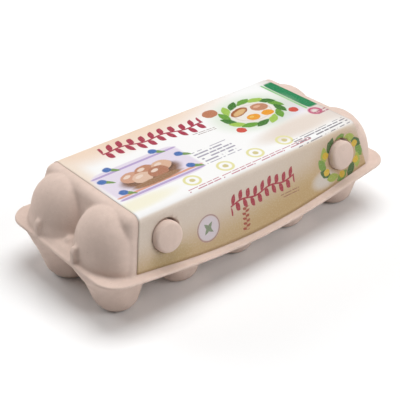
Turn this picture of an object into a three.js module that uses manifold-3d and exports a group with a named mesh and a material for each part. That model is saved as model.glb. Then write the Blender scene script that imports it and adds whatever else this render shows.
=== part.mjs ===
// A shut moulded-pulp carton for ten eggs. The tray has two rows of five cups. The lid
// has a flat top, two egg-shaped domes at each end and two round latch knobs that stand
// through its front panel. A printed paper label wraps the lid from front to back.
// Millimetres, +Z up, X along the length, -Y the front, standing on z = 0.

import * as THREE from 'three';
import Module from 'manifold-3d';
import { mergeVertices } from 'three/addons/utils/BufferGeometryUtils.js';

// Cups
const CUPS_PER_ROW = 5;
const CUP_PITCH = 48;
const ROW_Y = 24.5; // each row's distance from the middle between them
const FOOT_RADIUS = 7.6;
const CUP_PROFILE = [ // radius and height, from the foot up to the flange
  [0, 0], [FOOT_RADIUS, 0], [10.8, 1.4], [13.3, 5], [15, 11], [16.6, 17],
  [19, 23], [22.4, 28], [26.6, 32], [30, 34], [30, 37], [0, 37],
];
const CUP_SIDES = 26;
const BACK_FOOT = 2.8; // the back row's feet are this much wider
const FOOT_REACH = 12; // up to this height
const END_BELLY = 1.6; // the end cups are fuller, half way up, on the side by the end and the hinge
const BACK_FULLNESS = 2.3; // times that in the back row
const END_REACH = 23.4; // from its axis, the most that an end cup reaches towards the end

// Flange, the rim where tray and lid meet
const FLANGE_Z = 35.8; // its top at the carton's ends
const FLANGE_HALF_LENGTH = 121.2;
const FLANGE_FRONT = 54.6;
const FLANGE_BACK = 60; // wider, for the hinge
const FLANGE_RADIUS = 16.5;
const LID_FLANGE = 1.5;
const TRAY_FLANGE = 1.3;
const TRAY_INSET = 0.7; // the tray's edge stands back under the lid's
const SAG = 10.8; // how far it dips in the middle of each long side
const SAG_HALF_LENGTH = 108;
const SAG_POWER = 1.3;

// Lid block
const HEIGHT = 70; // floor to the top of the label
const GAP = 0.3; // between parts that touch
const LABEL_THICKNESS = 0.4;
const DRAFT = 0.2; // outward lean of front and back for each millimetre down
const END_DRAFT = 0.25;
const BLOCK_X = 1.2; // its middle, from the middle of the cups
const BLOCK_Y = 2.4;
const TOP_HALF_LENGTH = 97.7;
const TOP_HALF_WIDTH = 43.9;
const CORNER_RADIUS = 5;
const TOP_EDGE = 4.3;
const BLOCK_BASE = 12; // hidden: cut off at the seam

// Domes over the four corner eggs
const DOME_X = 96.2;
const DOME_Y = 24.1; // each row's distance from the block's middle
const DOME_Z = 39.6;
const DOME_HALF_LENGTH = 20.8;
const DOME_HALF_WIDTH = 26.4;
const DOME_RISE = 29.3;
const DOME_SETBACK = 0.4; // behind the front and back panels
const DOME_SIDES = 36;
const DOME_RINGS = 10;

// Sloping web between the two domes of an end, in X and Z
const SADDLE_PROFILE = [
  [90, 20], [120.4, 20], [120.4, 35.8], [116.4, 38.2], [111, 40.2], [104, 41.6], [90, 42],
];
const SADDLE_FRONT_Y = -14;
const SADDLE_BACK_Y = 24;

// Small lugs and bosses at the ends, which keep stacked lids apart
const LUG_PROFILE = [[108, 30], [120.6, 30], [120, 44], [118.4, 46.4], [108, 47.4]];
const LUG_THICKNESS = 4.4;
const LUG_FRONT_Y = -13.6;
const LUG_BACK_Y = 25.2;
const BOSS = { x: 109.5, y: 2.5, z: 39.6 };
const BOSS_PROFILE = [[0, 0], [3.6, 0], [3.4, 1.4], [2.2, 2.2], [0, 2.2]];
const BOSS_SIDES = 14;

// Label
const LABEL_TOP_HALF_LENGTH = 91;
const LABEL_SHIFT = 1.5; // pasted a little towards +X
const LABEL_FLARE = 0.24;
const LABEL_CLEARANCE = 0.6; // above the flange

// Latch knobs
const KNOB_PLACES = [-72.7, 77.1];
const KNOB_DROP = 18.9; // down the panel from its top edge
const KNOB_RADIUS = 10;
const KNOB_ROUND = 2.2;
const KNOB_PROUD = 4.3;
const KNOB_ROUND_STEPS = 4;
const KNOB_CROWN = 0.7;
const HOLE_RADIUS = 11;
const POCKET_DEPTH = 6;
const KNOB_SIDES = 36;

const BODY_HEIGHT = HEIGHT - GAP - LABEL_THICKNESS;
const REACH = 2 * FLANGE_HALF_LENGTH; // longer than anything that is cut
const TOP_FRONT = TOP_HALF_WIDTH - BLOCK_Y; // the front and back of the top, from the middle
const TOP_BACK = TOP_HALF_WIDTH + BLOCK_Y;

const wasm = await Module();
wasm.setup();

// ---------------------------------------------------------------- solids

/** A closed three.js geometry as a manifold-3d solid. */
function solid(geometry) {
  const bare = geometry.clone();
  bare.deleteAttribute('normal');
  bare.deleteAttribute('uv');
  const merged = mergeVertices(bare, 1e-4);
  return new wasm.Manifold(new wasm.Mesh({
    numProp: 3,
    vertProperties: merged.attributes.position.array,
    triVerts: new Uint32Array(merged.index.array),
  }));
}

function union(solids) {
  return solids.reduce((whole, next) => whole.add(next));
}

/** A manifold-3d solid as a named mesh with its own material. */
function part(name, body, look) {
  const { vertProperties, triVerts } = body.getMesh();
  const geometry = new THREE.BufferGeometry();
  geometry.setAttribute('position', new THREE.BufferAttribute(vertProperties, 3));
  geometry.setIndex(new THREE.BufferAttribute(triVerts, 1));
  geometry.computeVertexNormals();
  const mesh = new THREE.Mesh(geometry, new THREE.MeshStandardMaterial(look));
  mesh.name = name;
  return mesh;
}

/** Moves every vertex of a geometry by a function of its place. */
function shaped(geometry, move) {
  const position = geometry.attributes.position;
  const point = new THREE.Vector3();
  for (let i = 0; i < position.count; i += 1) {
    move(point.fromBufferAttribute(position, i));
    position.setXYZ(i, point.x, point.y, point.z);
  }
  return geometry;
}

/** A rectangle from (x0, y0) to (x1, y1) with rounded corners. */
function roundedRect(x0, y0, x1, y1, radius) {
  const shape = new THREE.Shape();
  shape.absarc(x1 - radius, y1 - radius, radius, 0, Math.PI / 2);
  shape.absarc(x0 + radius, y1 - radius, radius, Math.PI / 2, Math.PI);
  shape.absarc(x0 + radius, y0 + radius, radius, Math.PI, 1.5 * Math.PI);
  shape.absarc(x1 - radius, y0 + radius, radius, 1.5 * Math.PI, 2 * Math.PI);
  return shape;
}

function polygon(points) {
  return new THREE.Shape(points.map(([x, y]) => new THREE.Vector2(x, y)));
}

/** An outline drawn in X and Z, extruded along Y from y0 to y1. */
function alongY(outline, y0, y1) {
  const geometry = new THREE.ExtrudeGeometry(outline, {
    depth: y1 - y0, bevelEnabled: false,
  });
  return geometry.rotateX(Math.PI / 2).translate(0, y1, 0);
}

/** A profile of [radius, height] pairs, turned about Z. */
function turned(profile, sides) {
  const points = profile.map(([radius, z]) => new THREE.Vector2(radius, z));
  return new THREE.LatheGeometry(points, sides).rotateX(Math.PI / 2);
}

// ---------------------------------------------------------------- flange and seam

/** Height of the flange's top along the carton: level at the ends, dipping between. */
function flangeTop(x) {
  const u = x / SAG_HALF_LENGTH;
  return FLANGE_Z - SAG * Math.max(0, 1 - u * u) ** SAG_POWER;
}

/** Points on the flange's top, shifted by dz, from x0 to x1. */
function flangeLine(x0, x1, dz, steps = 36) {
  return Array.from({ length: steps + 1 }, (_, i) => {
    const x = x0 + ((x1 - x0) * i) / steps;
    return [x, flangeTop(x) + dz];
  });
}

/** Everything below the flange's top shifted by dz. */
function below(dz) {
  const edge = FLANGE_HALF_LENGTH + 5;
  const outline = polygon([[edge, -1], [-edge, -1], ...flangeLine(-edge, edge, dz)]);
  return solid(alongY(outline, -REACH / 2, REACH / 2));
}

/** The flange's plan as a tall prism, its edge drawn in by inset. */
function flangePrism(inset) {
  const length = FLANGE_HALF_LENGTH - inset;
  const outline = roundedRect(
    -length, inset - FLANGE_FRONT, length, FLANGE_BACK - inset, FLANGE_RADIUS - inset,
  );
  return solid(new THREE.ExtrudeGeometry(outline, {
    depth: HEIGHT, bevelEnabled: false, curveSegments: 8,
  }));
}

// ---------------------------------------------------------------- tray

/** Swells an end cup, measured from its axis, towards the direction given. */
function swollen(point, direction, belly) {
  const radius = Math.hypot(point.x, point.y);
  if (radius === 0 || point.z > FLANGE_Z - LID_FLANGE - TRAY_FLANGE) return;
  const facing = (point.x * direction.x + point.y * direction.y) / radius;
  const swell = belly * Math.sin((Math.PI * point.z) / FLANGE_Z);
  const scale = 1 + (THREE.MathUtils.smoothstep(facing, 0, 0.9) * swell) / radius;
  point.x = THREE.MathUtils.clamp(point.x * scale, -END_REACH, END_REACH);
  point.y *= scale;
}

function cup(x, y) {
  const foot = y > 0 ? BACK_FOOT : 0;
  const profile = CUP_PROFILE.map(([radius, z]) => {
    const wider = radius > 0 ? foot * Math.max(0, 1 - z / FOOT_REACH) : 0;
    return [radius + wider, z];
  });
  const geometry = turned(profile, CUP_SIDES);
  if (Math.abs(x) > 1.5 * CUP_PITCH) {
    const direction = new THREE.Vector2(0.6 * Math.sign(x), 0.8);
    const belly = END_BELLY * (y > 0 ? BACK_FULLNESS : 1);
    shaped(geometry, (point) => swollen(point, direction, belly));
  }
  return solid(geometry.translate(x, y, 0));
}

function tray() {
  const cups = [];
  for (let column = 0; column < CUPS_PER_ROW; column += 1) {
    const x = (column - (CUPS_PER_ROW - 1) / 2) * CUP_PITCH;
    cups.push(cup(x, -ROW_Y), cup(x, ROW_Y));
  }
  const plate = below(-LID_FLANGE - GAP).subtract(below(-LID_FLANGE - GAP - TRAY_FLANGE));
  return union(cups).add(plate)
    .intersect(flangePrism(TRAY_INSET))
    .intersect(below(-LID_FLANGE - GAP));
}

// ---------------------------------------------------------------- lid

/** Leans the four sides of an upright block outward as they go down. */
function drafted(point) {
  const drop = BODY_HEIGHT - point.z;
  point.x += Math.sign(point.x) * END_DRAFT * drop;
  point.y += Math.sign(point.y) * DRAFT * drop;
}

/** The lid's block, all its faces moved outward by grow. */
function block(grow) {
  const length = TOP_HALF_LENGTH + grow;
  const width = TOP_HALF_WIDTH + grow;
  const edge = TOP_EDGE + grow;
  const outline = roundedRect(-length, -width, length, width, CORNER_RADIUS + grow);
  const geometry = new THREE.ExtrudeGeometry(outline, {
    depth: BODY_HEIGHT + grow - BLOCK_BASE - 2 * edge,
    bevelThickness: edge,
    bevelSize: edge,
    bevelOffset: -edge,
    bevelSegments: 5,
    curveSegments: 5,
  });
  shaped(geometry.translate(0, 0, BLOCK_BASE + edge), drafted);
  return solid(geometry.translate(BLOCK_X, BLOCK_Y, 0));
}

/** An egg-shaped dome over one corner. */
function dome(side, row) {
  const profile = [[0, BLOCK_BASE - DOME_Z], [1, BLOCK_BASE - DOME_Z]];
  for (let ring = 0; ring < DOME_RINGS; ring += 1) {
    const angle = (Math.PI / 2) * (ring / DOME_RINGS);
    profile.push([Math.cos(angle), DOME_RISE * Math.sin(angle)]);
  }
  profile.push([0, DOME_RISE]);
  const geometry = turned(profile, DOME_SIDES).scale(DOME_HALF_LENGTH, DOME_HALF_WIDTH, 1);
  return solid(geometry.translate(side * DOME_X, BLOCK_Y + row * DOME_Y, DOME_Z));
}

/** All between the front and back panels, set back from them, up to the label's top. */
function betweenPanels(inset) {
  const top = HEIGHT;
  const lean = (z) => DRAFT * (BODY_HEIGHT - z) - inset;
  const outline = polygon([
    [-TOP_FRONT - lean(0), 0], [TOP_BACK + lean(0), 0],
    [TOP_BACK + lean(top), top], [-TOP_FRONT - lean(top), top],
  ]);
  const geometry = new THREE.ExtrudeGeometry(outline, { depth: REACH, bevelEnabled: false });
  geometry.rotateX(Math.PI / 2).rotateZ(Math.PI / 2);
  return solid(geometry.translate(-REACH / 2, 0, 0));
}

/** A profile drawn at the +X end, mirrored to the end asked for. */
function endProfile(profile, side) {
  return polygon(profile.map(([x, z]) => [side * x, z]));
}

/** The sloping web between the two domes of one end. */
function saddle(side) {
  return solid(alongY(endProfile(SADDLE_PROFILE, side), SADDLE_FRONT_Y, SADDLE_BACK_Y));
}

/** A small upright lug at the foot of a dome. */
function lug(side, y) {
  const half = LUG_THICKNESS / 2;
  return solid(alongY(endProfile(LUG_PROFILE, side), y - half, y + half));
}

function boss(side) {
  return solid(turned(BOSS_PROFILE, BOSS_SIDES).translate(side * BOSS.x, BOSS.y, BOSS.z));
}

// ---------------------------------------------------------------- latch

const PANEL_TILT = Math.atan(DRAFT);

/** Sets a piece turned about Z on the front panel, its top facing out of the panel. */
function onPanel(geometry, x) {
  const z = HEIGHT - KNOB_DROP * Math.cos(PANEL_TILT);
  const y = -(TOP_FRONT + GAP + LABEL_THICKNESS + DRAFT * (HEIGHT - z));
  return geometry.rotateX(Math.PI / 2 - PANEL_TILT).translate(x, y, z);
}

function knob(x) {
  const profile = [[0, GAP - POCKET_DEPTH], [KNOB_RADIUS, GAP - POCKET_DEPTH]];
  for (let step = 0; step <= KNOB_ROUND_STEPS; step += 1) {
    const angle = (Math.PI / 2) * (step / KNOB_ROUND_STEPS);
    profile.push([
      KNOB_RADIUS - KNOB_ROUND * (1 - Math.cos(angle)),
      KNOB_PROUD - KNOB_ROUND * (1 - Math.sin(angle)),
    ]);
  }
  profile.push([KNOB_RADIUS / 2, KNOB_PROUD + KNOB_CROWN * 0.75], [0, KNOB_PROUD + KNOB_CROWN]);
  return solid(onPanel(turned(profile, KNOB_SIDES), x));
}

function knobHole(x) {
  const reach = 3 * POCKET_DEPTH;
  const profile = [[0, -POCKET_DEPTH], [HOLE_RADIUS, -POCKET_DEPTH], [HOLE_RADIUS, reach], [0, reach]];
  return solid(onPanel(turned(profile, KNOB_SIDES), x));
}

// ---------------------------------------------------------------- parts

function lid(holes) {
  const pieces = [block(0), below(0).intersect(flangePrism(0))];
  const domeSpace = betweenPanels(DOME_SETBACK).subtract(labelSpan(LABEL_CLEARANCE));
  for (const side of [-1, 1]) {
    for (const row of [-1, 1]) pieces.push(dome(side, row).intersect(domeSpace));
    pieces.push(saddle(side), boss(side), lug(side, LUG_FRONT_Y), lug(side, LUG_BACK_Y));
  }
  return union(pieces).subtract(below(-LID_FLANGE)).subtract(holes);
}

/** All above the flange and between the label's slanting ends, moved out by margin. */
function labelSpan(margin) {
  const end = (side, z) => {
    const reach = LABEL_TOP_HALF_LENGTH + margin + LABEL_FLARE * (HEIGHT - z);
    return LABEL_SHIFT + side * reach;
  };
  const top = HEIGHT + 10;
  const outline = [
    [end(1, top), top], [end(-1, top), top],
    ...flangeLine(end(-1, FLANGE_Z), end(1, FLANGE_Z), LABEL_CLEARANCE),
  ];
  return solid(alongY(polygon(outline), -REACH / 2, REACH / 2));
}

function label(holes) {
  const shell = block(GAP + LABEL_THICKNESS).subtract(block(GAP));
  return shell.intersect(labelSpan(0)).subtract(holes);
}

const PULP = { color: 0xcbbcae, roughness: 0.92, metalness: 0 };
const PAPER = { color: 0xf2ece2, roughness: 0.55, metalness: 0 };

const [LEFT_KNOB_X, RIGHT_KNOB_X] = KNOB_PLACES;
const holes = knobHole(LEFT_KNOB_X).add(knobHole(RIGHT_KNOB_X));
const carton = new THREE.Group();
carton.add(
  part('tray', tray(), PULP),
  part('lid', lid(holes), PULP),
  part('label', label(holes), PAPER),
  part('latch_knob_left', knob(LEFT_KNOB_X), PULP),
  part('latch_knob_right', knob(RIGHT_KNOB_X), PULP),
);
carton.position.y = (FLANGE_FRONT - FLANGE_BACK) / 2;

export default carton;
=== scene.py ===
"""Looks of a shut moulded-pulp egg carton: lid, tray, latch knobs and printed paper label."""

import logging
import math
from collections.abc import Callable, Iterable
from dataclasses import dataclass
from enum import Enum

import bmesh
import bpy
from mathutils import Matrix, Vector, noise


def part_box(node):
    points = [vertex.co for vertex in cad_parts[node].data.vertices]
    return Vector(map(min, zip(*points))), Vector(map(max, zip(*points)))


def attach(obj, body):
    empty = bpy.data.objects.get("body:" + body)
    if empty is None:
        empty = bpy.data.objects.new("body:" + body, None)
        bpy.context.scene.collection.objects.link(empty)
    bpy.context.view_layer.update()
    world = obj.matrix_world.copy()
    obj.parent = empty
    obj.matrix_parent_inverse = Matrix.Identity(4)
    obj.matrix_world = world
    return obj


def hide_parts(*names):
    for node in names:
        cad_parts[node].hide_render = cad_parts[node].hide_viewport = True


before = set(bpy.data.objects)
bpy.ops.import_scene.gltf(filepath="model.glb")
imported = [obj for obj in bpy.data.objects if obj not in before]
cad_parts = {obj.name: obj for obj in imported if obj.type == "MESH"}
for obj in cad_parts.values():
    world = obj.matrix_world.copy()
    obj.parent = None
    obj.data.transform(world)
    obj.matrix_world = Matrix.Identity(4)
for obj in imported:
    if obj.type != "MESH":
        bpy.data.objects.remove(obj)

Colour = tuple[float, float, float, float]
Triple = tuple[float, float, float]
Pair = tuple[float, float]
Outline = tuple[Pair, ...]
Mesh = bmesh.types.BMesh
Socket = bpy.types.NodeSocket
Tree = bpy.types.NodeTree

log = logging.getLogger("carton")
MM = 0.001
CM = 0.01
FRAME_Y = -2.7 * MM  # from the middle between the cups' rows to the middle of the whole
SMOOTHING = 0.5  # share of the way to its neighbours' middle that a vertex moves each round
HAIR = 1e-6  # smaller than any real step of the shape


class Side(Enum):
    """An end of the carton, or one of its two rows."""

    LOW = -1
    HIGH = 1


# ------------------------------------------------------------------ mesh helpers


def soft_limit(value: float, start: float, end: float) -> float:
    """Leaves a value alone up to start, then levels it out towards end.

    Args:
        value: The value.
        start: Where the levelling begins.
        end: The limit, above start, which is never passed.

    Returns:
        The levelled value.
    """
    if value <= start:
        return value
    room = end - start
    return start + room * math.tanh((value - start) / room)


def smooth_step(value: float, start: float, end: float) -> float:
    """Rises smoothly from 0 at start to 1 at end.

    Args:
        value: The value.
        start: Where the rise begins.
        end: Where it ends.

    Returns:
        A number from 0 to 1.
    """
    share = min(1.0, max(0.0, (value - start) / (end - start)))
    return share * share * (3 - 2 * share)


def move_verts(bm: Mesh, place: Callable[[Vector], Vector]) -> None:
    """Moves every vertex to the place that a function gives for it.

    Args:
        bm: The mesh.
        place: Gives the new place of a point.
    """
    for vert in bm.verts:
        vert.co = place(vert.co)


def box(low: Vector, high: Vector) -> Mesh:
    """A box between two corners.

    Args:
        low: Its lowest corner.
        high: Its highest corner.

    Returns:
        The mesh.
    """
    bm = bmesh.new()
    bmesh.ops.create_cube(bm, size=1)
    bmesh.ops.scale(bm, vec=high - low, verts=bm.verts)
    bmesh.ops.translate(bm, vec=(low + high) / 2, verts=bm.verts)
    return bm


def round_edges(
    bm: Mesh,
    wanted: Callable[[Vector, Vector], bool],
    radius: float,
    segments: int,
) -> None:
    """Bevels the edges that a test picks by their two ends.

    Args:
        bm: The mesh.
        wanted: Says whether the edge between two points is rounded.
        radius: How far the bevel reaches.
        segments: Steps round it.
    """
    edges = [e for e in bm.edges if wanted(e.verts[0].co, e.verts[1].co)]
    bmesh.ops.bevel(
        bm, geom=edges, offset=radius, offset_type="OFFSET", segments=segments,
        profile=0.5, affect="EDGES", material=-1, clamp_overlap=True,
    )


def is_upright(a: Vector, b: Vector) -> bool:
    """True of an edge that runs along Z."""
    return abs(a.x - b.x) + abs(a.y - b.y) < HAIR


def lathe(profile: Iterable[Pair], steps: int) -> Mesh:
    """A solid turned about Z.

    Args:
        profile: Radius and height of each point, both ends on the axis.
        steps: Faces round it.

    Returns:
        The mesh, closed and facing out.
    """
    bm = bmesh.new()
    line = [bm.verts.new((radius, 0, z)) for radius, z in profile]
    edges = [bm.edges.new(pair) for pair in zip(line, line[1:])]
    bmesh.ops.spin(
        bm, geom=line + edges, cent=(0, 0, 0), axis=(0, 0, 1), angle=2 * math.pi,
        steps=steps, use_merge=True,
    )
    bmesh.ops.remove_doubles(bm, verts=bm.verts, dist=1e-7)
    bmesh.ops.recalc_face_normals(bm, faces=bm.faces)
    return bm


def slices(bm: Mesh, low: float, high: float, count: int) -> None:
    """Cuts a mesh across X at even steps, keeping both sides.

    Args:
        bm: The mesh.
        low: X of the first cut.
        high: X of the last cut.
        count: Number of cuts.
    """
    for i in range(count):
        x = low + (high - low) * i / (count - 1)
        bmesh.ops.bisect_plane(
            bm, geom=[*bm.verts, *bm.edges, *bm.faces], dist=1e-7,
            plane_co=(x, 0, 0), plane_no=(1, 0, 0),
        )


def add_object(name: str, *shells: Mesh) -> bpy.types.Object:
    """An object that holds one or more shells, which are freed.

    Args:
        name: The object's name.
        shells: The meshes that it takes in.

    Returns:
        The new object, linked to the scene.
    """
    mesh = bpy.data.meshes.new(name)
    whole = bmesh.new()
    for shell in shells:
        shell.to_mesh(mesh)
        shell.free()
        whole.from_mesh(mesh)
    whole.to_mesh(mesh)
    whole.free()
    made = bpy.data.objects.new(name, mesh)
    bpy.context.scene.collection.objects.link(made)
    return made


def apply_modifiers(piece: bpy.types.Object) -> None:
    """Turns what a piece's modifiers show into its own mesh.

    Args:
        piece: The object.
    """
    graph = bpy.context.evaluated_depsgraph_get()
    shown = bpy.data.meshes.new_from_object(piece.evaluated_get(graph), depsgraph=graph)
    before = piece.data
    piece.modifiers.clear()
    piece.data = shown
    shown.name = piece.name
    bpy.data.meshes.remove(before)


def cut(piece: bpy.types.Object, tool: bpy.types.Object, operation: str) -> None:
    """Cuts a piece by a closed tool, which is then removed.

    Args:
        piece: The piece that is cut.
        tool: The closed shape.
        operation: INTERSECT or DIFFERENCE.
    """
    modifier = piece.modifiers.new("cut", "BOOLEAN")
    modifier.operation = operation
    modifier.object = tool
    modifier.solver = "MANIFOLD"
    apply_modifiers(piece)
    mesh = tool.data
    bpy.data.objects.remove(tool)
    bpy.data.meshes.remove(mesh)


@dataclass(frozen=True)
class Unevenness:
    """How the surface of moulded pulp wanders in and out, in millimetres and swells per metre."""

    slow_reach: float = 0.09
    slow_scale: float = 90.0
    quick_reach: float = 0.04
    quick_scale: float = 380.0
    quick_offset: Triple = (7.3, 1.9, 4.1)

    def at(self, point: Vector) -> float:
        """How far the pulp stands proud of its true surface.

        Args:
            point: A point of the surface.

        Returns:
            The height there, in metres.
        """
        slow = noise.noise(point * self.slow_scale)
        quick = noise.noise(point * self.quick_scale + Vector(self.quick_offset))
        return (self.slow_reach * slow + self.quick_reach * quick) * MM

    def roughen(self, bm: Mesh) -> None:
        """Moves a mesh's surface in and out.

        Args:
            bm: The mesh.
        """
        bm.normal_update()
        steps = [vert.normal * self.at(vert.co) for vert in bm.verts]
        for vert, step in zip(bm.verts, steps):
            vert.co += step


def felt(piece: bpy.types.Object, voxel: float, rounds: int) -> None:
    """Fuses a piece's shells into one skin and softens it, as pulp settles on a mould.

    Args:
        piece: The object, made of closed shells that may overlap.
        voxel: Size of the new faces.
        rounds: How often the skin is smoothed.
    """
    modifier = piece.modifiers.new("fuse", "REMESH")
    modifier.mode = "VOXEL"
    modifier.voxel_size = voxel
    apply_modifiers(piece)
    bm = bmesh.new()
    bm.from_mesh(piece.data)
    for _ in range(rounds):
        bmesh.ops.smooth_vert(
            bm, verts=bm.verts, factor=SMOOTHING,
            use_axis_x=True, use_axis_y=True, use_axis_z=True,
        )
    Unevenness().roughen(bm)
    bm.to_mesh(piece.data)
    bm.free()


def finish_piece(
    piece: bpy.types.Object, materials: list[bpy.types.Material], slot: str, *nodes: str
) -> None:
    """Moves a finished piece into the frame, dresses it and gives it the place of CAD nodes.

    Args:
        piece: The object, measured from the middle of the cups.
        materials: Its finishes, in the order of its faces' material numbers.
        slot: A material slot's name; not used.
        nodes: The CAD nodes that it stands for.
    """
    piece.data.transform(Matrix.Translation((0, FRAME_Y, 0)))
    for polygon in piece.data.polygons:
        polygon.use_smooth = True
    piece.data.materials.clear()
    for material in materials:
        piece.data.materials.append(material)
    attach(piece, "root")
    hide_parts(*nodes)
    log.info("%s: %d faces", piece.name, len(piece.data.polygons))


# ------------------------------------------------------------------ shared form


@dataclass(frozen=True)
class CartonForm:
    """Sizes that the lid, the tray and the label share, in metres from the cups' middle."""

    flange_front: float = 54.6 * MM
    flange_back: float = 60 * MM
    flange_half_length: float = 121.2 * MM
    flange_radius: float = 16.5 * MM
    flange_z: float = 35.8 * MM
    flange_corner_steps: int = 12
    flange_cuts: int = 61
    lid_flange: float = 1.5 * MM
    tray_flange: float = 1.3 * MM
    seam_gap: float = 0.3 * MM
    tray_inset: float = 1.5 * MM
    sag: float = 10.8 * MM
    sag_half_length: float = 108 * MM
    sag_power: float = 1.3
    body_height: float = 69.3 * MM
    middle_x: float = 1.2 * MM
    middle_y: float = 2.4 * MM
    top_half_length: float = 97.7 * MM
    top_half_width: float = 43.9 * MM
    draft: float = 0.2
    end_draft: float = 0.25
    skew: float = 0.025
    corner_radius: float = 5 * MM
    top_edge: float = 4.3 * MM
    row_y: float = 24.5 * MM
    cup_pitch: float = 48 * MM
    cut_margin: float = 4 * MM

    def flange_top(self, x: float) -> float:
        """Height of the flange's upper face: level at the ends, dipping between."""
        u = x / self.sag_half_length
        return self.flange_z - self.sag * max(0.0, 1 - u * u) ** self.sag_power

    def seam(self, x: float) -> float:
        """Height of the underside of the lid's flange."""
        return self.flange_top(x) - self.lid_flange

    def skewed(self, point: Vector) -> Vector:
        """Draws a point of the lid askew towards the right end, as the mould has it.

        Args:
            point: The point of a square lid.

        Returns:
            Its place.
        """
        share = max(0.0, point.x / self.top_half_length)
        lean = self.skew * (point.y - self.middle_y) * share
        return Vector((point.x - lean, point.y, point.z))

    def leaned(self, point: Vector) -> Vector:
        """Drafts an upright block about the origin and puts it in its place.

        Args:
            point: The point, measured from the block's middle.

        Returns:
            Its place on the carton.
        """
        drop = self.body_height - point.z
        return self.skewed(Vector((
            self.middle_x + point.x + math.copysign(self.end_draft * drop, point.x),
            self.middle_y + point.y + math.copysign(self.draft * drop, point.y),
            point.z,
        )))

    def flange_slab(
        self, inset: float, low: Callable[[float], float], high: Callable[[float], float]
    ) -> Mesh:
        """Makes the flange's plan as a slab between two heights that follow X.

        Args:
            inset: How far its edge stands back.
            low: Height of the underside at an X.
            high: Height of the top at an X.

        Returns:
            The mesh.
        """
        length = self.flange_half_length - inset
        bm = box(
            Vector((-length, inset - self.flange_front, 0)),
            Vector((length, self.flange_back - inset, 1)),
        )
        round_edges(bm, is_upright, self.flange_radius - inset, self.flange_corner_steps)
        slices(bm, self.cut_margin - length, length - self.cut_margin, self.flange_cuts)

        def follow(point: Vector) -> Vector:
            """A point of the unit slab, at the height of its face."""
            height = high if point.z > 0.5 else low
            return Vector((point.x, point.y, height(point.x)))

        move_verts(bm, follow)
        return bm


# ------------------------------------------------------------------ lid


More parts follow.
